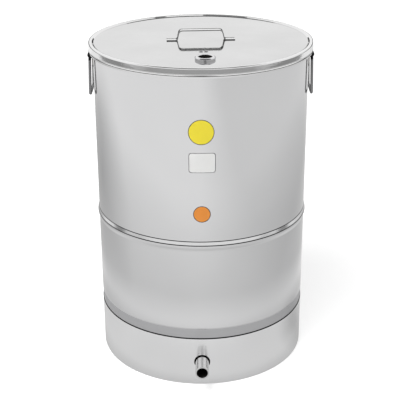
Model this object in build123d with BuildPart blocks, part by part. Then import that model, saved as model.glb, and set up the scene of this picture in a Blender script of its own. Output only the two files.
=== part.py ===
"""Steam wax melter: a stainless drum on a base, with a lift-out comb basket, a lid and two drop handles.

Frame: +Z up, origin on the floor at the centre of the base, spout towards -Y, drop handles at -X and +X.
Units: millimetres.
"""

import os
from math import hypot, sqrt

from build123d import *

# Drum
drum_diameter = 525.0
sheet = 0.8
rim_height = 812.0
rim_roll = 7.0
rim_curl = 285.0
bead_height = 378.8
bead_width = 25.0
bead_depth = 4.0
bead_bend = 12.0

# Base and the lap joint that carries the drum
base_height = 128.5
foot_flange = 12.0
foot_bend = 1.5
band_height = 26.5
swage_slope = 3.0
swage_bend = 4.0
lap_depth = 22.0
lap_clearance = 0.1

# Drain: cone floor, elbow and spout
pipe_diameter = 33.7
pipe_wall = 3.2
spout_height = 64.0
spout_reach = 52.0
spout_ease = 0.8
spout_hole_gap = 3.0
elbow_radius = 26.0
elbow_stub = 4.0
floor_below_seam = 6.0
floor_flange = 28.0
floor_bend = 6.0
weld_gap = 0.05

# Comb basket
basket_gap = 16.0
basket_sheet = 1.0
basket_stand = 42.0
steam_space = 45.0
wall_slots_around = 20
wall_slot_rows = 4
slot_width = 6.0
wall_slot_land = 30.0
floor_slot_length = 42.0
floor_slot_rings = 4
hoop_height = 20.0
hoop_thickness = 3.0
leg_width = 30.0
leg_thickness = 3.0
leg_lap = 30.0
leg_count = 3
leg_seat_gap = 0.3
basket_rod = 8.0
basket_grip_width = 100.0
basket_grip_bend = 15.0
basket_grip_lap = 35.0
basket_grip_headroom = 10.0

# Lid
lid_sheet = 1.0
lid_seat_gap = 0.3
lid_side_gap = 2.1
lid_corner = 2.5
lid_drop = 3.0
lid_step_width = 3.5
lid_step_over_rim = 1.8
lid_step_bend = 2.0
lid_flange = 13.3
lid_flare = 1.3
lid_groove_drop = 1.8
lid_groove_depth = 1.4
lid_hem = 7.2
lid_hem_depth = 1.1
lid_hem_bend = 1.2
lid_yaw = 3.1
lid_rod = 8.0
lid_grip_width = 104.0
lid_grip_root = 115.0
lid_grip_height = 23.0
lid_grip_bend = 11.0
lid_foot_length = 30.0
lid_foot_inset = 4.5
lid_foot_width = 14.0
lid_foot_thickness = 3.0
lid_foot_corner = 4.0
socket_diameter = 47.5
socket_bore = 30.3
socket_height = 7.0
socket_bevel = 2.0
socket_spigot_wall = 3.5
socket_spigot_depth = 3.0
socket_offset = 184.0
vent_diameter = 4.5
vent_spacing = 11.5
vent_offset = 117.0

# Drop handles and their brackets
handle_rod = 7.0
handle_width = 86.0
handle_drop = 94.0
handle_lean = 2.6
handle_bend = 9.0
handle_axis_below_rim = 31.0
pivot_clearance = 0.05
barrel_wall = 3.5
barrel_back = 0.8
bracket_wall = 1.5
bracket_end_gap = 3.0
bracket_plate_drop = 32.0
bracket_corner = 8.0

# Radii and heights that follow from the sizes above
drum_radius = drum_diameter / 2
drum_middle = drum_radius - sheet / 2
drum_inner = drum_radius - sheet
swage_outer = drum_inner - lap_clearance
swage_middle = swage_outer - sheet / 2
swage_inner = swage_outer - sheet
band_top = base_height + band_height
rim_radius = rim_roll / 2
rim_axis_radius = drum_inner + rim_radius
rim_axis_height = rim_height - rim_radius

pipe_radius = pipe_diameter / 2
pipe_bore = pipe_radius - pipe_wall
elbow_top = spout_height + elbow_radius
floor_low = elbow_top + elbow_stub
floor_edge = base_height - floor_below_seam
floor_outer = swage_inner - weld_gap
floor_hole = pipe_radius + weld_gap
floor_slope = (floor_edge - floor_low) / (floor_outer - pipe_bore)

basket_radius = drum_inner - basket_gap
basket_inner = basket_radius - basket_sheet
basket_bottom = floor_edge + basket_stand
basket_top = rim_height - steam_space

lid_ring_middle = rim_height + lid_seat_gap + lid_sheet / 2
lid_middle = lid_ring_middle - lid_drop
lid_top = lid_middle + lid_sheet / 2
lid_under = lid_middle - lid_sheet / 2
lid_step_outer = drum_inner + lid_step_over_rim
lid_step_inner = lid_step_outer - lid_step_width
lid_flange_radius = drum_inner + rim_roll + lid_side_gap + lid_sheet / 2
lid_flange_low = lid_ring_middle - lid_flange
lid_groove_radius = lid_flange_radius + lid_flare - lid_groove_depth
lid_groove_height = lid_flange_low - lid_groove_drop

barrel_bore = handle_rod / 2 + pivot_clearance
barrel_radius = barrel_bore + barrel_wall
handle_axis_out = weld_gap + barrel_back + barrel_bore
handle_axis_radius = drum_radius + handle_axis_out
handle_axis_height = rim_height - handle_axis_below_rim

os.makedirs("parts", exist_ok=True)


def save(built, name):
    """Label a finished piece and write it to its own file."""
    built.part.label = name
    export_step(built.part, f"parts/{name}.step")


# Drum shell: swaged lower end, plain wall, stiffening bead and curled rim, from one turned sheet section
bead_low = bead_height - bead_width / 2
bead_high = bead_height + bead_width / 2
lap_bottom = base_height - lap_depth
with BuildPart() as drum_shell:
    with BuildSketch(Plane.YZ):
        with BuildLine():
            FilletPolyline(
                (swage_middle, lap_bottom),
                (swage_middle, band_top),
                (drum_middle, band_top + swage_slope),
                (drum_middle, bead_low),
                (drum_middle + bead_depth, bead_height),
                (drum_middle, bead_high),
                (drum_middle, rim_axis_height),
                radius=[swage_bend, swage_bend, bead_bend, bead_bend, bead_bend],
            )
            CenterArc((rim_axis_radius, rim_axis_height), rim_radius - sheet / 2, 180, -rim_curl)
        trace(line_width=sheet)
    revolve(axis=Axis.Z)
save(drum_shell, "drum_shell")

# Base skirt: a ring with an in-turned foot and a clear hole for the spout
with BuildPart() as base_skirt:
    with BuildSketch(Plane.YZ):
        with BuildLine():
            FilletPolyline(
                (drum_radius - foot_flange, sheet / 2),
                (drum_middle, sheet / 2),
                (drum_middle, base_height),
                radius=foot_bend,
            )
        trace(line_width=sheet)
    revolve(axis=Axis.Z)
    with BuildSketch(Plane.XZ):
        with Locations((0, spout_height)):
            Circle(pipe_radius + spout_hole_gap)
    extrude(amount=drum_diameter, mode=Mode.SUBTRACT)
save(base_skirt, "base_skirt")

# Drain floor: a shallow cone that falls to the outlet, with an upturned flange inside the lap joint
with BuildPart() as drain_floor:
    with BuildSketch(Plane.YZ):
        with BuildLine():
            FilletPolyline(
                (pipe_bore, floor_low + sheet / 2),
                (floor_outer - sheet / 2, floor_edge + sheet / 2),
                (floor_outer - sheet / 2, floor_edge + floor_flange),
                radius=floor_bend,
            )
        trace(line_width=sheet)
    revolve(axis=Axis.Z)
    Hole(floor_hole)
save(drain_floor, "drain_floor")

# Drain elbow: a quarter bend from the outlet to the spout
with BuildPart() as drain_elbow:
    with BuildSketch(Plane.XY.offset(elbow_top)) as elbow_section:
        Circle(pipe_radius)
        Circle(pipe_bore, mode=Mode.SUBTRACT)
    extrude(amount=elbow_stub + sheet)
    revolve(
        elbow_section.sketch,
        axis=Axis((0, -elbow_radius, elbow_top), (-1, 0, 0)),
        revolution_arc=90,
    )
save(drain_elbow, "drain_elbow")

# Spout pipe: straight run from the elbow out through the base
with BuildPart() as spout_pipe:
    with BuildSketch(Plane.XZ.offset(elbow_radius)):
        with Locations((0, spout_height)):
            Circle(pipe_radius)
            Circle(pipe_bore, mode=Mode.SUBTRACT)
    extrude(amount=drum_radius + spout_reach - elbow_radius)
    spout_mouth = spout_pipe.faces().sort_by(Axis.Y)[0]
    chamfer(spout_mouth.outer_wire().edges(), spout_ease)
save(spout_pipe, "spout_pipe")

# Basket floor: a disc with rings of radial drain slots
floor_slot_pitch = basket_inner / (floor_slot_rings + 1)
with BuildPart() as basket_floor:
    with BuildSketch(Plane.XY.offset(basket_bottom)):
        Circle(basket_radius)
        for ring in range(1, floor_slot_rings + 1):
            with PolarLocations(ring * floor_slot_pitch, 6 * ring):
                Rectangle(floor_slot_length, slot_width, mode=Mode.SUBTRACT)
    extrude(amount=basket_sheet)
save(basket_floor, "basket_floor")

# Basket wall: a rolled sheet standing on the floor disc, with rows of upright slots
wall_bottom = basket_bottom + basket_sheet
wall_height = basket_top - hoop_height - wall_bottom
wall_slot_pitch = wall_height / wall_slot_rows
with BuildPart() as basket_wall:
    with BuildSketch(Plane.XY.offset(wall_bottom)):
        Circle(basket_radius)
        Circle(basket_inner, mode=Mode.SUBTRACT)
    extrude(amount=basket_top - wall_bottom)
    for row in range(wall_slot_rows):
        with Locations((0, 0, wall_bottom + (row + 0.5) * wall_slot_pitch)):
            with PolarLocations(basket_radius, wall_slots_around):
                Box(
                    basket_gap,
                    slot_width,
                    wall_slot_pitch - wall_slot_land,
                    mode=Mode.SUBTRACT,
                )
save(basket_wall, "basket_wall")

# Basket hoop: a flat bar ring that stiffens the mouth of the basket
hoop_inner = basket_radius + weld_gap
with BuildPart() as basket_hoop:
    with BuildSketch(Plane.XY.offset(basket_top - hoop_height)):
        Circle(hoop_inner + hoop_thickness)
        Circle(hoop_inner, mode=Mode.SUBTRACT)
    extrude(amount=hoop_height)
save(basket_hoop, "basket_hoop")

# Basket legs: flat bars up the outside of the wall that stand the basket on the cone floor
leg_inner = basket_radius + weld_gap
leg_foot_radius = hypot(leg_inner + leg_thickness, leg_width / 2)
floor_top_at_leg = floor_low + sheet * hypot(1, floor_slope) + (leg_foot_radius - pipe_bore) * floor_slope
leg_bottom = floor_top_at_leg + leg_seat_gap
for number in range(leg_count):
    leg_plane = Plane.XY.offset(leg_bottom).rotated((0, 0, 90 + number * 360 / leg_count))
    with BuildPart() as basket_leg:
        with BuildSketch(leg_plane):
            with Locations((leg_inner + leg_thickness / 2, 0)):
                Rectangle(leg_thickness, leg_width)
        extrude(amount=basket_bottom + leg_lap - leg_bottom)
    save(basket_leg, f"basket_leg_{number + 1}")

# Basket grips: bent rods welded inside the wall below the mouth
grip_leg = basket_grip_width / 2
grip_x = sqrt(basket_inner**2 - (grip_leg + basket_rod / 2) ** 2) - basket_rod / 2 - weld_gap
grip_top = lid_under - basket_grip_headroom - basket_rod / 2
grip_bottom = basket_top - basket_grip_lap
for side, name in ((-1, "basket_grip_left"), (1, "basket_grip_right")):
    with BuildPart() as basket_grip:
        with BuildLine():
            FilletPolyline(
                (side * grip_x, -grip_leg, grip_bottom),
                (side * grip_x, -grip_leg, grip_top),
                (side * grip_x, grip_leg, grip_top),
                (side * grip_x, grip_leg, grip_bottom),
                radius=basket_grip_bend,
            )
        with BuildSketch(Plane.XY.offset(grip_bottom)):
            with Locations((side * grip_x, -grip_leg)):
                Circle(basket_rod / 2)
        sweep()
    save(basket_grip, name)

# Lid pan: a flat plate that steps up to a ring over the rim, with a flared flange and a beaded hem
socket_spigot = socket_bore / 2 + socket_spigot_wall
lid_plane = Plane.XY.offset(lid_top).rotated((0, 0, lid_yaw))
with BuildPart() as lid_pan:
    with BuildSketch(Plane.YZ):
        with BuildLine():
            FilletPolyline(
                (0, lid_middle),
                (lid_step_inner, lid_middle),
                (lid_step_outer, lid_ring_middle),
                (lid_flange_radius, lid_ring_middle),
                (lid_flange_radius + lid_flare, lid_flange_low),
                (lid_groove_radius, lid_groove_height),
                (lid_groove_radius + lid_hem_depth, lid_groove_height - lid_hem / 2),
                (lid_groove_radius, lid_groove_height - lid_hem),
                radius=[lid_step_bend, lid_step_bend, lid_corner, lid_hem_bend, lid_hem_bend, lid_hem_bend],
            )
        trace(line_width=lid_sheet)
    revolve(axis=Axis.Z)
    with Locations(lid_plane):
        with Locations((0, -socket_offset)):
            Hole(socket_spigot + weld_gap)
        with Locations((-vent_spacing / 2, -vent_offset), (vent_spacing / 2, -vent_offset)):
            Hole(vent_diameter / 2)
save(lid_pan, "lid_pan")

# Lid handle: a bent rod on two flat feet
lid_upright = Plane(lid_plane.origin, x_dir=lid_plane.x_dir, z_dir=-lid_plane.y_dir)
lid_foot_centre = lid_grip_root / 2 - lid_foot_inset + lid_foot_length / 2
with BuildPart() as lid_handle:
    with BuildLine(lid_upright) as lid_rod_path:
        FilletPolyline(
            (-lid_grip_root / 2, lid_foot_thickness / 2),
            (-lid_grip_width / 2, lid_grip_height),
            (lid_grip_width / 2, lid_grip_height),
            (lid_grip_root / 2, lid_foot_thickness / 2),
            radius=lid_grip_bend,
        )
    with BuildSketch(Plane(lid_rod_path.line @ 0, z_dir=lid_rod_path.line % 0)):
        Circle(lid_rod / 2)
    sweep()
    with BuildSketch(lid_plane):
        with Locations((-lid_foot_centre, 0), (lid_foot_centre, 0)):
            RectangleRounded(lid_foot_length, lid_foot_width, lid_foot_corner)
    extrude(amount=lid_foot_thickness)
save(lid_handle, "lid_handle")

# Steam socket: a bevelled ring on the lid with a spigot through it, bored for a pipe thread
with BuildPart() as steam_socket:
    with BuildSketch(lid_plane):
        with Locations((0, -socket_offset)):
            Circle(socket_diameter / 2)
    extrude(amount=socket_height)
    socket_rim = steam_socket.edges().sort_by(Axis.Z)[-1]
    chamfer(socket_rim, socket_bevel)
    with BuildSketch(lid_plane):
        with Locations((0, -socket_offset)):
            Circle(socket_spigot)
    extrude(amount=-lid_sheet - socket_spigot_depth)
    with Locations(lid_plane.offset(socket_height)):
        with Locations((0, -socket_offset)):
            Hole(socket_bore / 2)
save(steam_socket, "steam_socket")

# Brackets: a plate curved to the drum, rolled at its top into a barrel for the handle
bracket_width = handle_width - 2 * (handle_bend + bracket_end_gap)
bracket_back = drum_radius + weld_gap
for side, name in ((-1, "bracket_left"), (1, "bracket_right")):
    pivot_x = side * handle_axis_radius
    with BuildPart() as bracket:
        with BuildSketch(Plane.XY.offset(handle_axis_height - bracket_plate_drop)):
            Circle(bracket_back + bracket_wall)
            Circle(bracket_back, mode=Mode.SUBTRACT)
            with Locations((pivot_x, 0)):
                Rectangle(drum_radius, bracket_width, mode=Mode.INTERSECT)
        extrude(amount=bracket_plate_drop)
        plate_corners = bracket.edges().filter_by(Axis.X).group_by(Axis.Z)[0]
        fillet(plate_corners, bracket_corner)
        with BuildSketch(Plane.XZ.offset(-bracket_width / 2)):
            with Locations((pivot_x, handle_axis_height)):
                Circle(barrel_radius)
            with Locations((pivot_x - side * handle_axis_out, handle_axis_height - barrel_radius / 2)):
                Rectangle(2 * handle_axis_out, barrel_radius)
        extrude(amount=bracket_width)
        with Locations((0, 0, handle_axis_height)):
            Cylinder(bracket_back, rim_height, mode=Mode.SUBTRACT)
        with Locations(Plane.XZ):
            with Locations((pivot_x, handle_axis_height)):
                Cylinder(barrel_bore, bracket_width, mode=Mode.SUBTRACT)
    save(bracket, name)

# Drop handles: closed loops of rod that hang from the bracket barrels and lean out at the bottom
handle_low = handle_axis_height - handle_drop
for side, name in ((-1, "side_handle_left"), (1, "side_handle_right")):
    pivot_x = side * handle_axis_radius
    low_x = pivot_x + side * handle_lean
    with BuildPart() as side_handle:
        with BuildLine() as half_loop:
            FilletPolyline(
                (pivot_x, 0, handle_axis_height),
                (pivot_x, handle_width / 2, handle_axis_height),
                (low_x, handle_width / 2, handle_low),
                (low_x, 0, handle_low),
                radius=handle_bend,
            )
        with BuildSketch(Plane(half_loop.line @ 0, z_dir=half_loop.line % 0)):
            Circle(handle_rod / 2)
        sweep()
        mirror(about=Plane.XZ)
    save(side_handle, name)
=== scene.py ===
"""Looks of the steam wax melter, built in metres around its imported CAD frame."""

import math

import bmesh
import bpy
import numpy as np
from mathutils import Matrix, Vector


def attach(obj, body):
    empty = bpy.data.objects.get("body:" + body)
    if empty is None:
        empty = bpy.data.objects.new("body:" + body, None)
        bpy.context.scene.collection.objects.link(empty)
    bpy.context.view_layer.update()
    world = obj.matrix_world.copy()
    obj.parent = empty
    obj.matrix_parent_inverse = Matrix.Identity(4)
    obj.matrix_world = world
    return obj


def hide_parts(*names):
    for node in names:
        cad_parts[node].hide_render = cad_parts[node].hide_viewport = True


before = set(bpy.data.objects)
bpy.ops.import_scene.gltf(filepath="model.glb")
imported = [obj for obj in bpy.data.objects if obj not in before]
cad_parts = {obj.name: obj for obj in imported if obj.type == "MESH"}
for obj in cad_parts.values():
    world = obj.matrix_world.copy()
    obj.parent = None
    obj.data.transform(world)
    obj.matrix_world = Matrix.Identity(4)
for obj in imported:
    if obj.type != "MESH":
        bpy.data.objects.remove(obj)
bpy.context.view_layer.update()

# Sizes are in millimetres and angles in degrees, unless a comment says otherwise. Meshes are in metres
MM = 0.001

# Fineness: points round turned pieces, pipes and rods, and along the rim's curl
AROUND = 288
PIPE_AROUND = 72
ROD_AROUND = 24
CURL_STEPS = 30

# A straight run over SHORT_RUN has an extra point at NEAR_END from each end
NEAR_END = 0.25
SHORT_RUN = 2.0

# Points of a mesh closer than this are merged, in metres
MERGE = 1e-7

# Drum and base sizes shared with the CAD source
DRUM_R = 262.5
SHEET = 0.8
DRUM_MID = DRUM_R - SHEET / 2
SWAGE_MID = 261.2
LAP_LOW = 106.5
SEAM_Z = 128.5
BAND_TOP = 155.0
SWAGE_SLOPE = 3.0
SWAGE_BEND = 4.0
BEAD_Z = 378.8
BEAD_HALF = 12.5
BEAD_DEPTH = 4.0
BEAD_BEND = 12.0
RIM_TOP = 812.0
RIM_ROLL = 3.5
RIM_CURL = 285.0
FOOT = 12.0
FOOT_BEND = 1.5

# Drum details that are only in the looks: where the band's dull finish ends, and the sealant's section
BAND_FINISH_TOP = BAND_TOP + 1.0
SEAL_INNER = SWAGE_MID + 0.35
SEAL_SHOULDER = SWAGE_MID + 0.8
SEAL_OUTER = DRUM_R + 0.15
SEAL_LOW = SEAM_Z - 0.4
SEAL_HALF = 0.8
SEAL_SHOULDER_Z = SEAM_Z + 1.8
SEAL_TOP = SEAM_Z + 2.3

# Waviness of the wall: the heights it fades out at, and each wave's depth, count, slant and start in radians
WAVE_LOW = 170.0
WAVE_HIGH = 785.0
WAVE_FADE = 60.0
WAVE_AT_BEAD = 0.15
WAVES = [(0.10, 5, 0.011, 0.0), (0.07, 9, -0.017, 1.3), (0.05, 14, 0.023, 4.1)]

# Lid sizes, with the shares of the hem's upper slope where a dark line of painted shade starts and ends
LID_SHEET = 1.0
LID_TOP = 810.3
LID_UNDER = LID_TOP - LID_SHEET
LID_MID = LID_TOP - LID_SHEET / 2
LID_RING = 813.3
RING_MID = LID_RING - LID_SHEET / 2
LID_FLAT_R = 240.0
STEP_IN = 260.0
STEP_OUT = 263.5
STEP_BEND = 2.0
FLANGE_R = 271.3
FLANGE_LOW = 799.5
FLANGE_BEND = 2.5
FLARE = 1.3
GROOVE_R = 271.2
GROOVE_Z = 797.7
HEM_R = 272.3
HEM_HALF = 3.6
HEM_BEND = 1.2
HEM_SHADE = (0.62, 0.81)
SHADE_MARGIN = 0.3
LID_YAW = math.radians(3.1)
VENT_R = 2.25
VENT_SHADE_R = 5.0
VENT_HALF = 5.75
VENT_OFFSET = 117.0
VENT_AROUND = 24

# Steam socket
SOCKET_OFFSET = 184.0
SOCKET_R = 23.75
SOCKET_BORE = 15.15
SOCKET_H = 7.0
SOCKET_CHAMFER = 2.0
SOCKET_MOUTH = 1.4
SOCKET_TOP_ROUND = 0.5
SOCKET_SIDE_ROUND = 0.6
SOCKET_FOOT_ROUND = 0.25
SOCKET_HOLE_GAP = 0.05
SOCKET_HOLE_AROUND = 48
SPIGOT_R = 18.65
SPIGOT_LOW = -4.0
SPIGOT_ROUND = 0.4
SPIGOT_MOUTH = 0.6
THREAD_PITCH = 2.309
THREAD_DEPTH = 0.75
THREAD_MOUTH = 1.0
THREAD_START = SOCKET_H - 0.6
BORE_SHADE_R = SOCKET_BORE + 0.9
BORE_SHADE_TOP = SOCKET_H - 1.0

# Lid handle, a strap
GRIP_WIDTH = 18.0
GRIP_THICK = 2.4
GRIP_EDGE = 0.6
GRIP_HALF = 52.0
GRIP_ROOT = 57.5
GRIP_END = 83.0
GRIP_H = 24.3
GRIP_BEND = 9.0
GRIP_FOOT_BEND = 5.0

# Spout, and the cut for its hole in the base
SPOUT_Z = 64.0
SPOUT_START = 26.0
SPOUT_END = 314.5
PIPE_R = 16.85
PIPE_BORE = 13.65
PIPE_BACK_ROUND = 0.3
PIPE_BACK_STEP = 0.2
PIPE_MOUTH_ROUND = 0.8
PIPE_BORE_ROUND = 0.6
PIPE_SHADE_AND_STAIN_R = PIPE_BORE + 0.2
PIPE_SHADE_AND_STAIN_IN = 2.0
SPOUT_GAP = 3.0
CUT_OUTSIDE = 20.0
CUT_INSIDE = 30.0
CUT_SHARP = 30.0

# Drop handles and brackets
HANDLE_X = 266.9
HANDLE_Z = 781.0
HANDLE_HALF = 43.0
HANDLE_DROP = 94.0
HANDLE_LEAN = 2.6
HANDLE_BEND = 9.0
HANDLE_ROD = 3.5
BRACKET_HALF = 31.0
BRACKET_DROP = 32.0

# Welds of the brackets
BRACKET_WELD_R = 1.4
BRACKET_WELD_AROUND = 10
BRACKET_WELD_OUT = DRUM_R + 0.4
BRACKET_WELD_SIDE = 0.8
BRACKET_WELD_LOW = HANDLE_Z - BRACKET_DROP + 9.0
BRACKET_WELD_STEP = 2.0
BRACKET_WELD_POINTS = 11

# Welds of the upright seams at the back, each with its name, low end and high end
SEAM_WELD_R = 1.6
SEAM_WELD_AROUND = 12
SEAM_WELD_STEP = 4.0
SEAM_WELD_FACE = DRUM_R - 0.2
SEAM_WELD_SQUASH = 0.35
SEAM_WELDS = [
    ("drum_back_weld", BAND_TOP + 6.0, BEAD_Z - 20.0),
    ("drum_top_weld", BEAD_Z + 20.0, 796.0),
    ("base_back_weld", 5.0, SEAM_Z - 1.0),
]

# Labels, each placed by how far across the drum and how high its centre is
LABEL_THICK = 0.12
LABEL_LIFT = 0.05
LABEL_BORDER = 1.6
LABEL_RINGS = 8
UPPER_LABEL_R = 30.0
UPPER_LABEL_AROUND = 60
UPPER_LABEL_AT = (0.0, 662.6)
PANEL_WIDTH = 62.0
PANEL_HEIGHT = 48.0
PANEL_CORNER = 6.0
PANEL_AT = (2.0, 589.0)
LOWER_LABEL_R = 20.5
LOWER_LABEL_AROUND = 48
LOWER_LABEL_AT = (1.0, 461.5)

# Noise and roughness of the materials
GRAIN_DETAIL = 3.0
CLOUD_SCALE = 9.0
CLOUD_DETAIL = 4.0
CLOUD_RANGE = (0.3, 0.7)
MOTTLE_DETAIL = 4.0
PLAIN_SPREAD = 0.08
LEAST_ROUGH = 0.02


def add(name, data):
    """A new object in the scene."""
    made = bpy.data.objects.new(name, data)
    bpy.context.scene.collection.objects.link(made)
    return made


def link(name, mesh, body, materials, replaces=()):
    """Put a finished mesh in the scene, riding on a CAD body."""
    piece = add(name, mesh)
    for material in materials:
        mesh.materials.append(material)
    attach(piece, body)
    if replaces:
        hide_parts(*replaces)
    return piece


def make_mesh(name, verts, faces, sharp_deg=40.0):
    """A smooth-shaded mesh from points in millimetres, with sharp edges where faces meet at a wide angle."""
    mesh = bpy.data.meshes.new(name)
    mesh.from_pydata([(x * MM, y * MM, z * MM) for x, y, z in verts], [], faces)
    bm = bmesh.new()
    bm.from_mesh(mesh)
    bmesh.ops.remove_doubles(bm, verts=bm.verts, dist=MERGE)
    bmesh.ops.recalc_face_normals(bm, faces=bm.faces)
    limit = math.radians(sharp_deg)
    for edge in bm.edges:
        edge.smooth = len(edge.link_faces) == 2 and edge.calc_face_angle(0) < limit
    for face in bm.faces:
        face.smooth = True
    bm.to_mesh(mesh)
    bm.free()
    return mesh


def rounded(corners, steps=8, longest=24.0):
    """Points along a 2-D polyline of (u, v, bend radius), with arcs at its bends and no run over longest.

    Each straight run has a point close to both ends, so that smooth shading leaves it flat.
    """
    out = [np.array(corners[0][:2], float)]
    for before, here, after in zip(corners, corners[1:], corners[2:]):
        corner, previous, following = (np.array(point[:2], float) for point in (here, before, after))
        bend = here[2]
        if bend <= 0:
            out.append(corner)
            continue
        back = (previous - corner) / np.linalg.norm(previous - corner)
        ahead = (following - corner) / np.linalg.norm(following - corner)
        half = math.acos(max(-1.0, min(1.0, float(back @ ahead)))) / 2
        cut = bend / math.tan(half)
        centre = corner + (back + ahead) / np.linalg.norm(back + ahead) * bend / math.sin(half)
        start, end = corner + back * cut - centre, corner + ahead * cut - centre
        turn = math.atan2(start[0] * end[1] - start[1] * end[0], float(start @ end))
        for i in range(steps + 1):
            c, s = math.cos(turn * i / steps), math.sin(turn * i / steps)
            out.append(centre + np.array([c * start[0] - s * start[1], s * start[0] + c * start[1]]))
    out.append(np.array(corners[-1][:2], float))
    divided = [out[0]]
    for start, end in zip(out, out[1:]):
        length = np.linalg.norm(end - start)
        parts = math.ceil(length / longest)
        shares = [i / parts for i in range(1, parts)]
        if length > SHORT_RUN:
            shares = [NEAR_END / length] + shares + [1 - NEAR_END / length]
        divided += [start + (end - start) * share for share in shares] + [end]
    return divided


def sheet_outline(middle, thickness):
    """The closed outline of a sheet, from the line along the middle of its section."""
    last = len(middle) - 1
    sides = []
    for i, point in enumerate(middle):
        along = middle[min(i + 1, last)] - middle[max(i - 1, 0)]
        across = np.array([along[1], -along[0]]) / np.linalg.norm(along) * thickness / 2
        sides.append((point + across, point - across))
    return [tuple(a) for a, b in sides] + [tuple(b) for a, b in reversed(sides)]


def spin(profile, around=AROUND, closed=True, shift=None):
    """Turn a profile of (radius, height) about Z. shift(angle, height) moves a point outwards."""
    verts, faces = [], []
    count = len(profile)
    for k in range(around):
        angle = 2 * math.pi * k / around
        for r, z in profile:
            out = r + (shift(angle, z) if shift else 0.0)
            verts.append((out * math.cos(angle), out * math.sin(angle), z))
    last = count if closed else count - 1
    for k in range(around):
        n = (k + 1) % around
        for i in range(last):
            j = (i + 1) % count
            faces.append((k * count + i, n * count + i, n * count + j, k * count + j))
    return verts, faces


def band(first, second, count):
    """Faces between two rings of that many points, which start at the indices first and second."""
    pairs = [(k, (k + 1) % count) for k in range(count)]
    return [(first + k, first + n, second + n, second + k) for k, n in pairs]


def sweep(path, radius, sides, closed=False):
    """A rod along a path of 3-D points, with flat ends unless it is closed."""
    points = [Vector(p) for p in path]
    count = len(points)
    tangents = []
    for i in range(count):
        a = points[i - 1] if i or closed else points[i]
        b = points[(i + 1) % count] if i + 1 < count or closed else points[i]
        tangents.append((b - a).normalized())
    normal = tangents[0].orthogonal().normalized()
    verts, faces = [], []
    for point, tangent in zip(points, tangents):
        normal = (normal - tangent * normal.dot(tangent)).normalized()
        side = tangent.cross(normal)
        for k in range(sides):
            a = 2 * math.pi * k / sides
            verts.append(tuple(point + normal * math.cos(a) * radius + side * math.sin(a) * radius))
    for i in range(count if closed else count - 1):
        faces += band(i * sides, (i + 1) % count * sides, sides)
    if not closed:
        faces.append(tuple(range(sides - 1, -1, -1)))
        faces.append(tuple(range((count - 1) * sides, count * sides)))
    return verts, faces


def loop_path(corners, bend, steps=10):
    """A closed path of 3-D points along straight runs, with a bend of that radius at each corner."""
    points = [Vector(c) for c in corners]
    out = []
    for i, corner in enumerate(points):
        back = (points[i - 1] - corner).normalized()
        ahead = (points[(i + 1) % len(points)] - corner).normalized()
        half = back.angle(ahead) / 2
        cut = bend / math.tan(half)
        centre = corner + (back + ahead).normalized() * bend / math.sin(half)
        start = corner + back * cut - centre
        axis = start.cross(corner + ahead * cut - centre).normalized()
        for k in range(steps + 1):
            turn = Matrix.Rotation((math.pi - 2 * half) * k / steps, 3, axis)
            out.append(centre + turn @ start)
    return out


def place(points, turn=0.0, shift=(0.0, 0.0, 0.0)):
    """Turn points about Z by an angle in radians, then move them."""
    c, s = math.cos(turn), math.sin(turn)
    return [(c * x - s * y + shift[0], s * x + c * y + shift[1], z + shift[2]) for x, y, z in points]


def ring_points(x, y, r, count):
    """Points round a circle in a level plane."""
    angles = [2 * math.pi * k / count for k in range(count)]
    return [(x + r * math.cos(a), y + r * math.sin(a)) for a in angles]


def box_outline(width, height, corner, steps=6, longest=3.0):
    """A rectangle with round corners, about its centre, with points no more than longest apart."""
    arcs = []
    for sx, sy, start in ((1, 1, 0), (-1, 1, 90), (-1, -1, 180), (1, -1, 270)):
        for k in range(steps + 1):
            a = math.radians(start + 90 * k / steps)
            x = sx * (width / 2 - corner) + corner * math.cos(a)
            arcs.append((x, sy * (height / 2 - corner) + corner * math.sin(a)))
    out = []
    for a, b in zip(arcs, arcs[1:] + arcs[:1]):
        count = max(1, math.ceil(math.hypot(b[0] - a[0], b[1] - a[1]) / longest))
        out += [(a[0] + (b[0] - a[0]) * i / count, a[1] + (b[1] - a[1]) * i / count) for i in range(count)]
    return out


def drum_wave(angle, z):
    """Slow unevenness of hand-rolled sheet, in millimetres, which fades out at the band, bead and rim."""
    fade = min(1.0, max(0.0, (z - WAVE_LOW) / WAVE_FADE)) * min(1.0, max(0.0, (WAVE_HIGH - z) / WAVE_FADE))
    fade *= min(1.0, max(WAVE_AT_BEAD, abs(z - BEAD_Z) / WAVE_FADE))
    waves = [depth * math.sin(count * angle + slant * z + start) for depth, count, slant, start in WAVES]
    return fade * sum(waves)


# Materials
def new_material(name):
    """A new material, and its node tree."""
    material = bpy.data.materials.new(name)
    material.use_nodes = True
    return material, material.node_tree


def node(tree, kind, **values):
    """A new node with its settings."""
    made = tree.nodes.new(kind)
    for key, value in values.items():
        setattr(made, key, value)
    return made


def noise(tree, vector, scale, detail):
    """A socket of noise at a place."""
    made = node(tree, "ShaderNodeTexNoise")
    made.inputs["Scale"].default_value = scale
    made.inputs["Detail"].default_value = detail
    tree.links.new(vector, made.inputs["Vector"])
    return made.outputs["Fac"]


def map_range(tree, source, start, end, first, last):
    """A socket that goes from first to last as the source goes from start to end."""
    made = node(tree, "ShaderNodeMapRange")
    for name, value in (("From Min", start), ("From Max", end), ("To Min", first), ("To Max", last)):
        made.inputs[name].default_value = value
    tree.links.new(source, made.inputs["Value"])
    return made.outputs["Result"]


def combine(tree, operation, first, second):
    """A socket that holds two others put together by a math operation."""
    made = node(tree, "ShaderNodeMath", operation=operation)
    tree.links.new(first, made.inputs[0])
    tree.links.new(second, made.inputs[1])
    return made.outputs[0]


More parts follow.
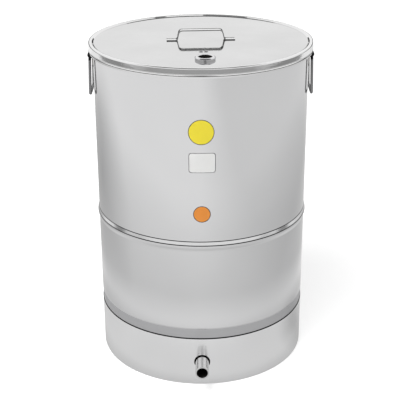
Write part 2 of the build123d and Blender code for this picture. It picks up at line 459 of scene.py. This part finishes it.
def mottled(tree, pattern, colour, spread):
    """A colour that a pattern darkens and lightens by up to a share."""
    shade = node(tree, "ShaderNodeMix", data_type="RGBA")
    shade.inputs["A"].default_value = (*[c * (1 - spread) for c in colour], 1)
    shade.inputs["B"].default_value = (*[min(1.0, c * (1 + spread)) for c in colour], 1)
    tree.links.new(pattern, shade.inputs["Factor"])
    return shade.outputs["Result"]


def painted_shade_by_facing(tree, colour, level, low, high, about=None):
    """Painted shade: the colour darkened to a level where the normal's height is under low, and as it is over
    high.

    With about, the normal's distance from that height counts, so that a band of slopes gets a painted dark
    line.
    """
    facing = node(tree, "ShaderNodeNewGeometry")
    split = node(tree, "ShaderNodeSeparateXYZ")
    tree.links.new(facing.outputs["Normal"], split.inputs["Vector"])
    slope = split.outputs["Z"]
    if about is not None:
        apart = node(tree, "ShaderNodeMath", operation="SUBTRACT")
        apart.inputs[1].default_value = about
        tree.links.new(slope, apart.inputs[0])
        distance = node(tree, "ShaderNodeMath", operation="ABSOLUTE")
        tree.links.new(apart.outputs[0], distance.inputs[0])
        slope = distance.outputs[0]
    shade_mix = node(tree, "ShaderNodeMix", data_type="RGBA", blend_type="MULTIPLY")
    shade_mix.inputs["Factor"].default_value = 1.0
    tree.links.new(colour, shade_mix.inputs["A"])
    tree.links.new(map_range(tree, slope, low, high, level, 1.0), shade_mix.inputs["B"])
    return shade_mix.outputs["Result"]


def steel(name, colour, rough, spread=0.05, grain=(60.0, 60.0, 900.0), grain_depth=0.00002, cloud=0.04,
          dull=None):
    """Stainless steel with rolling grain and a cloudy polish.

    dull holds the arguments after the colour for painted shade by which way a face points.
    """
    material, tree = new_material(name)
    shader = tree.nodes["Principled BSDF"]
    shader.inputs["Metallic"].default_value = 1.0
    position = node(tree, "ShaderNodeTexCoord").outputs["Object"]
    stretch = node(tree, "ShaderNodeMapping")
    stretch.inputs["Scale"].default_value = grain
    tree.links.new(position, stretch.inputs["Vector"])
    lines = noise(tree, stretch.outputs["Vector"], 1.0, GRAIN_DETAIL)
    clouds = noise(tree, position, CLOUD_SCALE, CLOUD_DETAIL)
    polish = map_range(tree, clouds, *CLOUD_RANGE, max(LEAST_ROUGH, rough - spread), rough + spread)
    tree.links.new(polish, shader.inputs["Roughness"])
    finish = mottled(tree, clouds, colour, cloud)
    if dull:
        finish = painted_shade_by_facing(tree, finish, *dull)
    tree.links.new(finish, shader.inputs["Base Color"])
    bump = node(tree, "ShaderNodeBump")
    bump.inputs["Strength"].default_value = 1.0
    bump.inputs["Distance"].default_value = grain_depth
    tree.links.new(lines, bump.inputs["Height"])
    tree.links.new(bump.outputs["Normal"], shader.inputs["Normal"])
    return material


def plain(name, colour, rough, speckle=0.06, scale=120.0, shine=0.5):
    """A printed or grimy surface, or painted shade, with fine mottling."""
    material, tree = new_material(name)
    shader = tree.nodes["Principled BSDF"]
    shader.inputs["Specular IOR Level"].default_value = shine
    position = node(tree, "ShaderNodeTexCoord").outputs["Object"]
    specks = noise(tree, position, scale, MOTTLE_DETAIL)
    tree.links.new(mottled(tree, specks, colour, speckle), shader.inputs["Base Color"])
    least, most = max(LEAST_ROUGH, rough - PLAIN_SPREAD), min(1.0, rough + PLAIN_SPREAD)
    tree.links.new(map_range(tree, specks, 0.0, 1.0, least, most), shader.inputs["Roughness"])
    return material


# The drum has painted dark lines, a painted reflection, on slopes tilted a little upwards such as the bead's
# bends
DRUM_STEEL = steel("drum_stainless", (0.675, 0.675, 0.68), 0.09, 0.03, dull=(0.06, 0.075, 0.10, 0.20))
BASE_STEEL = steel("base_stainless", (0.88, 0.88, 0.885), 0.20, 0.02, grain_depth=0.00001)
BAND_STEEL = steel("band_stainless", (0.53, 0.53, 0.54), 0.40, grain=(90.0, 90.0, 1400.0),
                   grain_depth=0.00004)
LID_STEEL = steel("lid_stainless", (0.655, 0.655, 0.655), 0.05, 0.02, grain=(500.0, 500.0, 60.0), cloud=0.12)
LID_EDGE_STEEL = steel("lid_edge_stainless", (0.80, 0.80, 0.80), 0.05, 0.02)
INNER_STEEL = steel("inner_stainless", (0.56, 0.56, 0.555), 0.30)
PIPE_STEEL = steel("pipe_stainless", (0.70, 0.70, 0.70), 0.16, grain=(700.0, 60.0, 700.0))
# Rod steel darkened as painted shade, for the dark surroundings the rods mirror
ROD_PAINTED_SHADE_STEEL = steel("rod_stainless_painted_shade", (0.26, 0.26, 0.262), 0.28, grain=(300.0, 300.0, 300.0))
# The lid grip gets painted shade on its sides and underside
LID_GRIP_STEEL = steel("lid_grip_stainless", (0.80, 0.80, 0.80), 0.10, grain=(60.0, 700.0, 700.0),
                       dull=(0.17, -0.2, 0.8))
# Near-black painted shade, for the brackets and the tops of the drop handles
BLACK_PAINTED_SHADE = plain("painted_shade_black", (0.012, 0.012, 0.013), 0.6, 0.25, shine=0.05)
# The socket gets painted shade on its sides
SOCKET_STEEL = steel("socket_stainless", (0.74, 0.74, 0.75), 0.16, grain=(40.0, 40.0, 1500.0),
                     dull=(0.62, 0.1, 0.5))
WELD_STEEL = steel("weld_steel", (0.42, 0.40, 0.38), 0.34, grain=(400.0, 400.0, 400.0), grain_depth=0.0002,
                   cloud=0.2)
# Near-black for painted shade in the bores, the vents and the hem's dark line, and for wax stain in the spout
DARK_SHADE_AND_WAX = plain("painted_shade_and_wax_stain", (0.012, 0.011, 0.010), 0.6, shine=0.1)
SEAM_DARK = plain("seam_sealant", (0.012, 0.012, 0.012), 0.7, shine=0.05)
LABEL_YELLOW = plain("label_yellow", (0.86, 0.72, 0.03), 0.35, 0.03)
LABEL_WHITE = plain("label_white", (0.80, 0.80, 0.79), 0.35, 0.02)
LABEL_ORANGE = plain("label_orange", (0.80, 0.27, 0.03), 0.35, 0.03)
LABEL_EDGE = plain("label_edge", (0.03, 0.03, 0.035), 0.4, 0.05)

# Drum: swaged band, wall, bead and curled rim
roll_r, roll_z = DRUM_R - SHEET + RIM_ROLL, RIM_TOP - RIM_ROLL
curl = RIM_ROLL - SHEET / 2
wall = rounded([
    (SWAGE_MID, LAP_LOW, 0), (SWAGE_MID, BAND_TOP, SWAGE_BEND),
    (DRUM_MID, BAND_TOP + SWAGE_SLOPE, SWAGE_BEND), (DRUM_MID, BEAD_Z - BEAD_HALF, BEAD_BEND),
    (DRUM_MID + BEAD_DEPTH, BEAD_Z, BEAD_BEND), (DRUM_MID, BEAD_Z + BEAD_HALF, BEAD_BEND),
    (DRUM_MID, roll_z, 0),
])
for step in range(1, CURL_STEPS + 1):
    a = math.radians(180 - RIM_CURL * step / CURL_STEPS)
    wall.append(np.array([roll_r + curl * math.cos(a), roll_z + curl * math.sin(a)]))
verts, faces = spin(sheet_outline(wall, SHEET), shift=drum_wave)
drum_mesh = make_mesh("drum_skin", verts, faces)
link("drum_skin", drum_mesh, "drum", [DRUM_STEEL, BAND_STEEL], ["drum_shell"])
for face in drum_mesh.polygons:
    if face.center.z < BAND_FINISH_TOP * MM:
        face.material_index = 1

# Dark line of sealant where the drum stands in the base
seam = [
    (SEAL_INNER, SEAL_LOW), (SEAL_OUTER, SEAM_Z - SEAL_HALF), (SEAL_OUTER, SEAM_Z + SEAL_HALF),
    (SEAL_SHOULDER, SEAL_SHOULDER_Z), (SEAL_INNER, SEAL_TOP),
]
link("seam_line", make_mesh("seam_line", *spin(seam)), "drum", [SEAM_DARK])

# Base: an upright sheet with an in-turned foot and a clear hole for the spout
base_line = rounded([
    (DRUM_R - FOOT, SHEET / 2, 0), (DRUM_MID, SHEET / 2, FOOT_BEND), (DRUM_MID, SEAM_Z, 0),
], longest=12.0)
base_mesh = make_mesh("base_ring", *spin(sheet_outline(base_line, SHEET)))
base = link("base_ring", base_mesh, "drum", [BASE_STEEL], ["base_skirt"])
hole = [(0, -DRUM_R - CUT_OUTSIDE, SPOUT_Z), (0, -DRUM_R + CUT_INSIDE, SPOUT_Z)]
cutter = add("cutter", make_mesh("cutter", *sweep(hole, PIPE_R + SPOUT_GAP, PIPE_AROUND)))
cut = base.modifiers.new("spout_hole", "BOOLEAN")
cut.object = cutter
cut.solver = "EXACT"
bpy.context.view_layer.update()
holed = bpy.data.meshes.new_from_object(base.evaluated_get(bpy.context.evaluated_depsgraph_get()))
base.modifiers.clear()
holed.set_sharp_from_angle(angle=math.radians(CUT_SHARP))
base.data = holed
bpy.data.objects.remove(cutter)

# Spout: pipe with an eased mouth
spout = rounded([
    (PIPE_BORE, SPOUT_START, 0), (PIPE_R, SPOUT_START, PIPE_BACK_ROUND),
    (PIPE_R, SPOUT_END, PIPE_MOUTH_ROUND), (PIPE_BORE, SPOUT_END, PIPE_BORE_ROUND),
    (PIPE_BORE, SPOUT_START + PIPE_BACK_STEP, 0),
], longest=40.0)
verts, faces = spin([tuple(p) for p in spout], PIPE_AROUND)
pipe_mesh = make_mesh("outlet_pipe", [(x, -z, SPOUT_Z + y) for x, y, z in verts], faces)
link("outlet_pipe", pipe_mesh, "drum", [PIPE_STEEL, DARK_SHADE_AND_WAX], ["spout_pipe"])
# The spout's bore, beyond a short way in from the mouth, gets near-black painted shade with wax stain
for face in pipe_mesh.polygons:
    c = face.center
    if math.hypot(c.x, c.z - SPOUT_Z * MM) < PIPE_SHADE_AND_STAIN_R * MM and c.y > (PIPE_SHADE_AND_STAIN_IN - SPOUT_END) * MM:
        face.material_index = 1

# Lid: a flat plate that steps up to a ring over the rim, with a flared flange and a beaded hem
lid_line = rounded([
    (LID_FLAT_R, LID_MID, 0), (STEP_IN, LID_MID, STEP_BEND), (STEP_OUT, RING_MID, STEP_BEND),
    (FLANGE_R, RING_MID, FLANGE_BEND), (FLANGE_R + FLARE, FLANGE_LOW, HEM_BEND),
    (GROOVE_R, GROOVE_Z, HEM_BEND),
    *[(GROOVE_R + (HEM_R - GROOVE_R) * share, GROOVE_Z - HEM_HALF * share, 0) for share in HEM_SHADE],
    (HEM_R, GROOVE_Z - HEM_HALF, HEM_BEND), (GROOVE_R, GROOVE_Z - 2 * HEM_HALF, 0),
])
lid_verts, lid_faces = spin(sheet_outline(lid_line, LID_SHEET), closed=False)
socket_hole = (0.0, -SOCKET_OFFSET, [SPIGOT_R + SOCKET_HOLE_GAP], SOCKET_HOLE_AROUND)
vent_holes = [(x, -VENT_OFFSET, [VENT_SHADE_R, VENT_R], VENT_AROUND) for x in (-VENT_HALF, VENT_HALF)]
lid_holes = [socket_hole] + vent_holes


def lid_ring(x, y, r, count, z):
    """A ring of points at one height of the lid, turned with it."""
    return place([(a, b, z) for a, b in ring_points(x, y, r, count)], LID_YAW)


def plate(z, offset):
    """The lid's flat middle at one height, with the socket's hole and the vents left open."""
    bm = bmesh.new()
    edges = []
    rings = [[(x, y, z) for x, y in ring_points(0, 0, LID_FLAT_R, AROUND)]]
    rings += [lid_ring(x, y, radii[0], count, z) for x, y, radii, count in lid_holes]
    for ring in rings:
        corners = [bm.verts.new(p) for p in ring]
        edges += [bm.edges.new((a, b)) for a, b in zip(corners, corners[1:] + corners[:1])]
    bmesh.ops.triangle_fill(bm, use_beauty=True, edges=edges)
    bm.verts.index_update()
    points = [tuple(v.co) for v in bm.verts]
    tris = [tuple(offset + v.index for v in f.verts) for f in bm.faces]
    bm.free()
    return points, tris


for height in (LID_TOP, LID_UNDER):
    points, tris = plate(height, len(lid_verts))
    lid_verts += points
    lid_faces += tris
for x, y, radii, n in lid_holes:
    edge = [(r, LID_TOP) for r in radii] + [(r, LID_UNDER) for r in reversed(radii)]
    for r, height in edge:
        lid_verts += lid_ring(x, y, r, n, height)
    for start in range(len(lid_verts) - n * len(edge), len(lid_verts) - n, n):
        lid_faces += band(start, start + n, n)
lid_mesh = make_mesh("lid_cover", lid_verts, lid_faces)
link("lid_cover", lid_mesh, "lid", [LID_STEEL, DARK_SHADE_AND_WAX, LID_EDGE_STEEL], ["lid_pan"])
shade_top, shade_low = (GROOVE_Z - HEM_HALF * share for share in HEM_SHADE)
vents = [Vector(p) * MM for p in place([(x, y, LID_MID) for x, y, radii, n in vent_holes], LID_YAW)]
for face in lid_mesh.polygons:
    corners = [lid_mesh.vertices[i].co for i in face.vertices]
    if min(math.hypot(c.x, c.y) for c in corners) > STEP_IN * MM:
        face.material_index = 2
    # Faces round the vents get near-black painted shade
    if any(max((c - v).length for c in corners) < (VENT_SHADE_R + LID_SHEET) * MM for v in vents):
        face.material_index = 1
    # Outward faces on the hem's upper slope get a dark line of painted shade
    in_shade = shade_low - SHADE_MARGIN < face.center.z / MM < shade_top + SHADE_MARGIN
    if in_shade and face.normal.dot(face.center) > 0:
        face.material_index = 1

# Steam socket: turned ring with a pipe thread in its bore
turned = rounded([
    (SOCKET_BORE + SOCKET_MOUTH, SOCKET_H, 0), (SOCKET_R - SOCKET_CHAMFER, SOCKET_H, SOCKET_TOP_ROUND),
    (SOCKET_R, SOCKET_H - SOCKET_CHAMFER, SOCKET_SIDE_ROUND), (SOCKET_R, 0.0, SOCKET_FOOT_ROUND),
    (SPIGOT_R, 0.0, 0), (SPIGOT_R, SPIGOT_LOW, SPIGOT_ROUND), (SOCKET_BORE + SPIGOT_MOUTH, SPIGOT_LOW, 0),
], steps=4)
thread = [(SOCKET_BORE + THREAD_MOUTH, THREAD_START)]
while thread[-1][1] - THREAD_PITCH > SPIGOT_LOW:
    z = thread[-1][1] - THREAD_PITCH / 2
    thread += [(SOCKET_BORE, z), (SOCKET_BORE + THREAD_DEPTH, z - THREAD_PITCH / 2)]
verts, faces = spin(list(reversed(thread)) + [tuple(p) for p in turned], PIPE_AROUND)
socket_at = place([(0.0, -SOCKET_OFFSET, LID_TOP)], LID_YAW)[0]
socket_mesh = make_mesh("socket_ring", place(verts, 0.0, socket_at), faces, sharp_deg=35)
link("socket_ring", socket_mesh, "lid", [SOCKET_STEEL, DARK_SHADE_AND_WAX], ["steam_socket"])
# The bore below its mouth gets near-black painted shade
for face in socket_mesh.polygons:
    c = face.center / MM - Vector(socket_at)
    if math.hypot(c.x, c.y) < BORE_SHADE_R and c.z < BORE_SHADE_TOP:
        face.material_index = 1

# Lid handle: one strap, bent up from two flat feet
grip_foot = GRIP_THICK / 2
grip_line = rounded([
    (-GRIP_END, grip_foot, 0), (-GRIP_ROOT, grip_foot, GRIP_FOOT_BEND), (-GRIP_HALF, GRIP_H, GRIP_BEND),
    (GRIP_HALF, GRIP_H, GRIP_BEND), (GRIP_ROOT, grip_foot, GRIP_FOOT_BEND), (GRIP_END, grip_foot, 0),
], longest=60.0)
section = box_outline(GRIP_WIDTH, GRIP_THICK, GRIP_EDGE, longest=20.0)
verts, faces, n = [], [], len(section)
for i, p in enumerate(grip_line):
    along = grip_line[min(i + 1, len(grip_line) - 1)] - grip_line[max(i - 1, 0)]
    across = np.array([-along[1], along[0]]) / np.linalg.norm(along)
    verts += [(p[0] + across[0] * up, y, p[1] + across[1] * up) for y, up in section]
for i in range(len(grip_line) - 1):
    faces += band(i * n, (i + 1) * n, n)
faces += [tuple(range(n)), tuple(range(len(verts) - n, len(verts)))]
verts = place(verts, LID_YAW, (0, 0, LID_TOP))
link("lid_grip", make_mesh("lid_grip", verts, faces), "lid", [LID_GRIP_STEEL], ["lid_handle"])

# Drop handles: closed loops of rod, with near-black painted shade at the top
drop_handles = [(-1, "left_drop_handle", "side_handle_left"), (1, "right_drop_handle", "side_handle_right")]
for side, body, name in drop_handles:
    top_x, low_x, low = side * HANDLE_X, side * (HANDLE_X + HANDLE_LEAN), HANDLE_Z - HANDLE_DROP
    corners = [(top_x, -HANDLE_HALF, HANDLE_Z), (top_x, HANDLE_HALF, HANDLE_Z), (low_x, HANDLE_HALF, low),
               (low_x, -HANDLE_HALF, low)]
    verts, faces = sweep(loop_path(corners, HANDLE_BEND), HANDLE_ROD, ROD_AROUND, closed=True)
    rod_mesh = make_mesh(name + "_rod", verts, faces)
    link(name + "_rod", rod_mesh, body, [ROD_PAINTED_SHADE_STEEL, BLACK_PAINTED_SHADE], [name])
    # Faces above the top bends get the near-black of painted shade
    for face in rod_mesh.polygons:
        if face.center.z > (HANDLE_Z - HANDLE_BEND) * MM:
            face.material_index = 1


# Smooth shading for the CAD nodes that stay
def smooth_group(sharp_deg=38.0, merge=1e-6):
    """A modifier's node group that merges points and shades smooth, apart from sharp edges."""
    tree = bpy.data.node_groups.new("smooth_by_angle", "GeometryNodeTree")
    tree.interface.new_socket("Geometry", in_out="INPUT", socket_type="NodeSocketGeometry")
    tree.interface.new_socket("Geometry", in_out="OUTPUT", socket_type="NodeSocketGeometry")
    start = node(tree, "NodeGroupInput")
    end = node(tree, "NodeGroupOutput")
    weld = node(tree, "GeometryNodeMergeByDistance")
    weld.inputs["Distance"].default_value = merge
    angle = node(tree, "GeometryNodeInputMeshEdgeAngle")
    less = node(tree, "FunctionNodeCompare", data_type="FLOAT", operation="LESS_THAN")
    less.inputs["B"].default_value = math.radians(sharp_deg)
    faces_smooth = node(tree, "GeometryNodeSetShadeSmooth", domain="FACE")
    edges_smooth = node(tree, "GeometryNodeSetShadeSmooth", domain="EDGE")
    tree.links.new(start.outputs[0], weld.inputs["Geometry"])
    tree.links.new(weld.outputs["Geometry"], faces_smooth.inputs["Geometry"])
    tree.links.new(faces_smooth.outputs["Geometry"], edges_smooth.inputs["Geometry"])
    tree.links.new(angle.outputs["Unsigned Angle"], less.inputs["A"])
    tree.links.new(less.outputs["Result"], edges_smooth.inputs["Shade Smooth"])
    tree.links.new(edges_smooth.outputs["Geometry"], end.inputs[0])
    return tree


smoothing = smooth_group()
finish_of = {"bracket": BLACK_PAINTED_SHADE, "drain_elbow": PIPE_STEEL, "drain": INNER_STEEL, "basket": INNER_STEEL}
for name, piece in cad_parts.items():
    if piece.hide_render:
        continue
    material = next(m for prefix, m in finish_of.items() if name.startswith(prefix))
    piece.data.materials.clear()
    piece.data.materials.append(material)
    modifier = piece.modifiers.new("smooth", "NODES")
    modifier.node_group = smoothing

# Welds: a bead along each side of the bracket plates, and the drum's and the base's upright seams at the back
for side, name in ((-1, "bracket_weld_left"), (1, "bracket_weld_right")):
    verts, faces = [], []
    for across in (-1, 1):
        turn = BRACKET_HALF / DRUM_R * across
        x, y = side * BRACKET_WELD_OUT * math.cos(turn), BRACKET_WELD_OUT * math.sin(turn)
        heights = [BRACKET_WELD_LOW + BRACKET_WELD_STEP * k for k in range(BRACKET_WELD_POINTS)]
        path = [(x, y + across * BRACKET_WELD_SIDE, z) for z in heights]
        more, tubes = sweep(path, BRACKET_WELD_R, BRACKET_WELD_AROUND)
        faces += [tuple(len(verts) + i for i in f) for f in tubes]
        verts += more
    link(name, make_mesh(name, verts, faces), "drum", [WELD_STEEL])
for name, low, high in SEAM_WELDS:
    count = math.ceil((high - low) / SEAM_WELD_STEP)
    heights = [low + (high - low) * k / count for k in range(count + 1)]
    path = [(0.0, DRUM_R + drum_wave(math.pi / 2, z), z) for z in heights]
    verts, faces = sweep(path, SEAM_WELD_R, SEAM_WELD_AROUND)
    proud = [max(0.0, y - SEAM_WELD_FACE) for x, y, z in verts]
    verts = [(x, y - (1 - SEAM_WELD_SQUASH) * out, z) for (x, y, z), out in zip(verts, proud)]
    link(name, make_mesh(name, verts, faces), "drum", [WELD_STEEL])


# Labels: blank stickers, curved to the drum
def sticker(name, outline, at, material):
    """A blank label with a thin dark border, from an outline of (across, up) points about its centre."""
    reach = max(math.hypot(a, b) for a, b in outline)
    inner = 1 - LABEL_BORDER / reach
    levels = [(1.0, 0.0), (1.0, LABEL_THICK), (inner, LABEL_THICK)]
    levels += [(inner * k / LABEL_RINGS, LABEL_THICK) for k in range(LABEL_RINGS - 1, 0, -1)]
    n = len(outline)
    verts, faces = [], []
    for share, lift in levels:
        for a, b in outline:
            angle = (at[0] + a * share) / DRUM_R - math.pi / 2
            height = at[1] + b * share
            r = DRUM_R + drum_wave(angle, height) + LABEL_LIFT + lift
            verts.append((r * math.cos(angle), r * math.sin(angle), height))
    for i in range(len(levels) - 1):
        faces += band(i * n, (i + 1) * n, n)
    faces.append(tuple(range((len(levels) - 1) * n, len(levels) * n)))
    mesh = make_mesh(name, verts, faces, sharp_deg=25)
    link(name, mesh, "drum", [material, LABEL_EDGE])
    for face in mesh.polygons[:2 * n]:
        face.material_index = 1


upper_outline = ring_points(0, 0, UPPER_LABEL_R, UPPER_LABEL_AROUND)
panel_outline = box_outline(PANEL_WIDTH, PANEL_HEIGHT, PANEL_CORNER)
lower_outline = ring_points(0, 0, LOWER_LABEL_R, LOWER_LABEL_AROUND)
sticker("label_round_upper", upper_outline, UPPER_LABEL_AT, LABEL_YELLOW)
sticker("label_panel", panel_outline, PANEL_AT, LABEL_WHITE)
sticker("label_round_lower", lower_outline, LOWER_LABEL_AT, LABEL_ORANGE)

# Camera at the photograph's viewing angle. EYE and FAR_CLIP are in metres
EYE = (0.0, -2.4735, 1.4243)
EYE_TURN = 0.088
EYE_DOWN = 22.73
EYE_ROLL = -0.3
SENSOR = 36.0
FOCAL_PIXELS = 1037.13
PHOTO_PIXELS = 400.0
FAR_CLIP = 100.0

camera = bpy.data.cameras.new("camera")
camera.sensor_width = SENSOR
camera.lens = SENSOR * FOCAL_PIXELS / PHOTO_PIXELS
camera.clip_end = FAR_CLIP
eye = add("camera", camera)
eye.location = EYE
tilt = Matrix.Rotation(math.radians(90.0 - EYE_DOWN), 3, "X")
aim = Matrix.Rotation(math.radians(EYE_TURN), 3, "Z") @ tilt
eye.rotation_euler = (aim @ Matrix.Rotation(math.radians(EYE_ROLL), 3, "Z")).to_euler()
bpy.context.scene.camera = eye

# Stage: pale floor, white surroundings, dull screens for the metal to mirror and one large soft lamp
WORLD_LIGHT = 0.55
FLOOR_HALF = 9000.0
FLOOR_Z = -0.5
UNDER_Z = -0.3
UNDER_AROUND = 96

# Fades of the floor: two distances in metres, and the levels at them. Each pool has its centre first
FLOOR_LIFT = (0.6, 3.0, 0.48, 0.70)
# Painted shadow and a painted bright ring on the floor, as metal mirrors it
MIRRORED_RIGHT = (0.0, 1.0, 1.0, 0.83)
MIRRORED_RING = [(0.48, 0.56, 1.0, 1.22), (0.58, 0.72, 1.0, 0.82)]
MIRRORED_POOLS = [
    ((0.0, 0.0, 0.0), (0.26, 0.31, 0.80, 1.0)),
    ((0.0, 0.7, 0.0), (1.1, 2.2, 0.72, 1.0)),
    ((-1.0, 1.4, 0.0), (0.5, 1.7, 0.68, 1.0)),
    ((0.36, 0.01, 0.0), (0.03, 0.17, 0.68, 1.0)),
]

# Screens: low edge, high edge, and pairs of a bearing from the front and the strength there
SCREEN_R = 3600.0
SCREEN_STEP = 3.0
SCREENS = {
    "low_screen": (0.0, 220.0, [
        (0, 0.10), (40, 0.12), (65, 0.28), (75, 0.30), (90, 0.60), (105, 0.95), (140, 0.95),
    ]),
    "middle_screen": (220.0, 430.0, [
        (0, 0.10), (40, 0.12), (65, 0.26), (75, 0.28), (110, 0.31), (119, 0.50), (129, 0.92), (140, 0.95),
    ]),
    "front_screen": (430.0, 680.0, [(0, 0.39), (50, 0.39), (70, 0.75), (85, 0.95), (140, 0.95)]),
    "back_screen": (430.0, 1480.0, [(100, 1.0), (128, 0.05), (180, 0.05)]),
}

# Upright panel in front, and the two distances from its middle that its strength rises between
FRONT_Y = -2600.0
FRONT_LOW = 1050.0
FRONT_HIGH = 1850.0
FRONT_HALF = 900.0
FRONT_COLUMNS = 19
FRONT_FADE = (100.0, 900.0)
FRONT_STRENGTHS = (0.35, 1.0)

# Level panels above: height, left, right, front, back and strength
PANELS = {
    "ceiling_front": (3000.0, -2000.0, 2000.0, -1700.0, 0.0, 0.10),
    "ceiling_back": (3000.0, -850.0, 850.0, 0.0, 2500.0, 0.12),
    "overhead_grey": (2960.0, -850.0, 850.0, -50.0, 450.0, 0.25),
    "overhead_white": (2940.0, -50.0, 620.0, -50.0, 450.0, 1.0),
}

# Lamp, in metres and watts
LAMP_SIZE = 2.4
LAMP_POWER = 90.0
LAMP_AT = (-1.0, -1.5, 3.4)
LAMP_AIM = (0.0, -0.6, 0.0)


def stage(name, mesh, material):
    """Put a mesh in the scene that belongs to the stage and not to the object."""
    piece = add(name, mesh)
    mesh.materials.append(material)
    return piece


def ray_kinds(tree):
    """Two sockets of one or zero: for the camera's own rays, and for glossy or transmitted rays."""
    rays = node(tree, "ShaderNodeLightPath")
    glossy, passed = rays.outputs["Is Glossy Ray"], rays.outputs["Is Transmission Ray"]
    return rays.outputs["Is Camera Ray"], combine(tree, "MAXIMUM", glossy, passed)


# White surroundings, which light matt surfaces less strongly than they show, directly or in metal
world = bpy.data.worlds.new("studio")
bpy.context.scene.world = world
world.use_nodes = True
tree = world.node_tree
back = tree.nodes["Background"]
back.inputs["Color"].default_value = (1, 1, 1, 1)
direct, mirror = ray_kinds(tree)
seen = combine(tree, "MAXIMUM", direct, mirror)
tree.links.new(map_range(tree, seen, 0.0, 1.0, WORLD_LIGHT, 1.0), back.inputs["Strength"])

# Floor, in a pale matt finish
floor_signs = ((-1, -1), (1, -1), (1, 1), (-1, 1))
floor_corners = [(sx * FLOOR_HALF, sy * FLOOR_HALF, FLOOR_Z) for sx, sy in floor_signs]
pale, tree = new_material("pale_floor")
shader = tree.nodes["Principled BSDF"]
shader.inputs["Base Color"].default_value = (0.80, 0.80, 0.80, 1)
shader.inputs["Roughness"].default_value = 0.9
shader.inputs["Specular IOR Level"].default_value = 0.1
direct, mirror = ray_kinds(tree)
position = node(tree, "ShaderNodeNewGeometry").outputs["Position"]

# Seen directly, the floor is lifted towards the white surroundings, and less so near the object's shadow
away = node(tree, "ShaderNodeVectorMath", operation="LENGTH")
tree.links.new(position, away.inputs[0])
raised = map_range(tree, away.outputs["Value"], *FLOOR_LIFT)
lift = node(tree, "ShaderNodeEmission")
tree.links.new(combine(tree, "MULTIPLY", direct, raised), lift.inputs["Strength"])
lit = node(tree, "ShaderNodeAddShader")
tree.links.new(shader.outputs["BSDF"], lit.inputs[0])
tree.links.new(lift.outputs["Emission"], lit.inputs[1])

# In metal the floor shows painted shadow in four pools and a little to the right, and a painted bright ring
# round the object
split = node(tree, "ShaderNodeSeparateXYZ")
tree.links.new(position, split.inputs["Vector"])
fades = [(split.outputs["X"], MIRRORED_RIGHT)]
fades += [(away.outputs["Value"], fade) for fade in MIRRORED_RING]
for centre, fade in MIRRORED_POOLS:
    reach = node(tree, "ShaderNodeVectorMath", operation="DISTANCE")
    reach.inputs[1].default_value = centre
    tree.links.new(position, reach.inputs[0])
    fades.append((reach.outputs["Value"], fade))
levels = [map_range(tree, source, *fade) for source, fade in fades]
shown = levels[0]
for level in levels[1:]:
    shown = combine(tree, "MULTIPLY", shown, level)
glow = node(tree, "ShaderNodeEmission")
tree.links.new(shown, glow.inputs["Strength"])
choice = node(tree, "ShaderNodeMixShader")
tree.links.new(mirror, choice.inputs["Fac"])
tree.links.new(lit.outputs["Shader"], choice.inputs[1])
tree.links.new(glow.outputs["Emission"], choice.inputs[2])
tree.links.new(choice.outputs["Shader"], tree.nodes["Material Output"].inputs["Surface"])
stage("floor", make_mesh("floor", floor_corners, [(0, 1, 2, 3)]), pale)

# Near-black sheet of painted shade on the floor under the base
under = [(x, y, UNDER_Z) for x, y in ring_points(0, 0, DRUM_R - FOOT / 2, UNDER_AROUND)]
stage("painted_shade_under_base", make_mesh("painted_shade_under_base", under, [tuple(range(UNDER_AROUND))]),
      plain("under_base", (0.02, 0.02, 0.02), 0.9, shine=0.1))


def flag(name, verts, faces, level):
    """A surface that only shows mirrored in metal.

    level(x, y) gives its strength at a place in millimetres.
    """
    mesh = make_mesh(name, verts, faces)
    strengths = mesh.attributes.new("level", "FLOAT", "POINT")
    for vertex, strength in zip(mesh.vertices, strengths.data):
        strength.value = level(vertex.co.x / MM, vertex.co.y / MM)
    dull, tree = new_material(name)
    stored = node(tree, "ShaderNodeAttribute", attribute_name="level")
    glow = node(tree, "ShaderNodeEmission")
    tree.links.new(stored.outputs["Fac"], glow.inputs["Strength"])
    tree.links.new(glow.outputs["Emission"], tree.nodes["Material Output"].inputs["Surface"])
    piece = stage(name, mesh, dull)
    piece.visible_camera = False
    piece.visible_shadow = False
    piece.visible_diffuse = False


def screen(name, low, high, stops):
    """An upright flag in an arc about the object, alike on both sides."""
    bearings, strengths = zip(*stops)
    count = math.ceil((bearings[-1] - bearings[0]) / SCREEN_STEP)
    verts, faces = [], []
    for side in (-1, 1):
        for k in range(count + 1):
            a = math.radians(bearings[0] + (bearings[-1] - bearings[0]) * k / count)
            x, y = side * SCREEN_R * math.sin(a), -SCREEN_R * math.cos(a)
            verts += [(x, y, low), (x, y, high)]
            if k:
                n = len(verts)
                faces.append((n - 4, n - 3, n - 1, n - 2))

    def level(x, y):
        return float(np.interp(math.degrees(math.atan2(abs(x), -y)), bearings, strengths))

    flag(name, verts, faces, level)


def front_panel(name):
    """An upright flag in front of the object, darkest in the middle."""
    columns = np.linspace(-FRONT_HALF, FRONT_HALF, FRONT_COLUMNS)
    verts = [(x, FRONT_Y, z) for x in columns for z in (FRONT_LOW, FRONT_HIGH)]
    faces = [(2 * k, 2 * k + 1, 2 * k + 3, 2 * k + 2) for k in range(FRONT_COLUMNS - 1)]
    flag(name, verts, faces, lambda x, y: float(np.interp(abs(x), FRONT_FADE, FRONT_STRENGTHS)))


def panel(name, z, left, right, front, back, strength):
    """A level flag above the object."""
    corners = [(left, front, z), (right, front, z), (right, back, z), (left, back, z)]
    flag(name, corners, [(0, 1, 2, 3)], lambda x, y: strength)


for name, measures in SCREENS.items():
    screen(name, *measures)
front_panel("front_dark")
for name, measures in PANELS.items():
    panel(name, *measures)

lamp = bpy.data.lights.new("soft_lamp", "AREA")
lamp.shape = "DISK"
lamp.size = LAMP_SIZE
lamp.energy = LAMP_POWER
lamp_at = add("soft_lamp", lamp)
lamp_at.location = LAMP_AT
lamp_at.visible_glossy = False
lamp_at.rotation_euler = (Vector(LAMP_AIM) - lamp_at.location).to_track_quat("-Z", "Y").to_euler()

bpy.context.scene.view_settings.view_transform = "Standard"
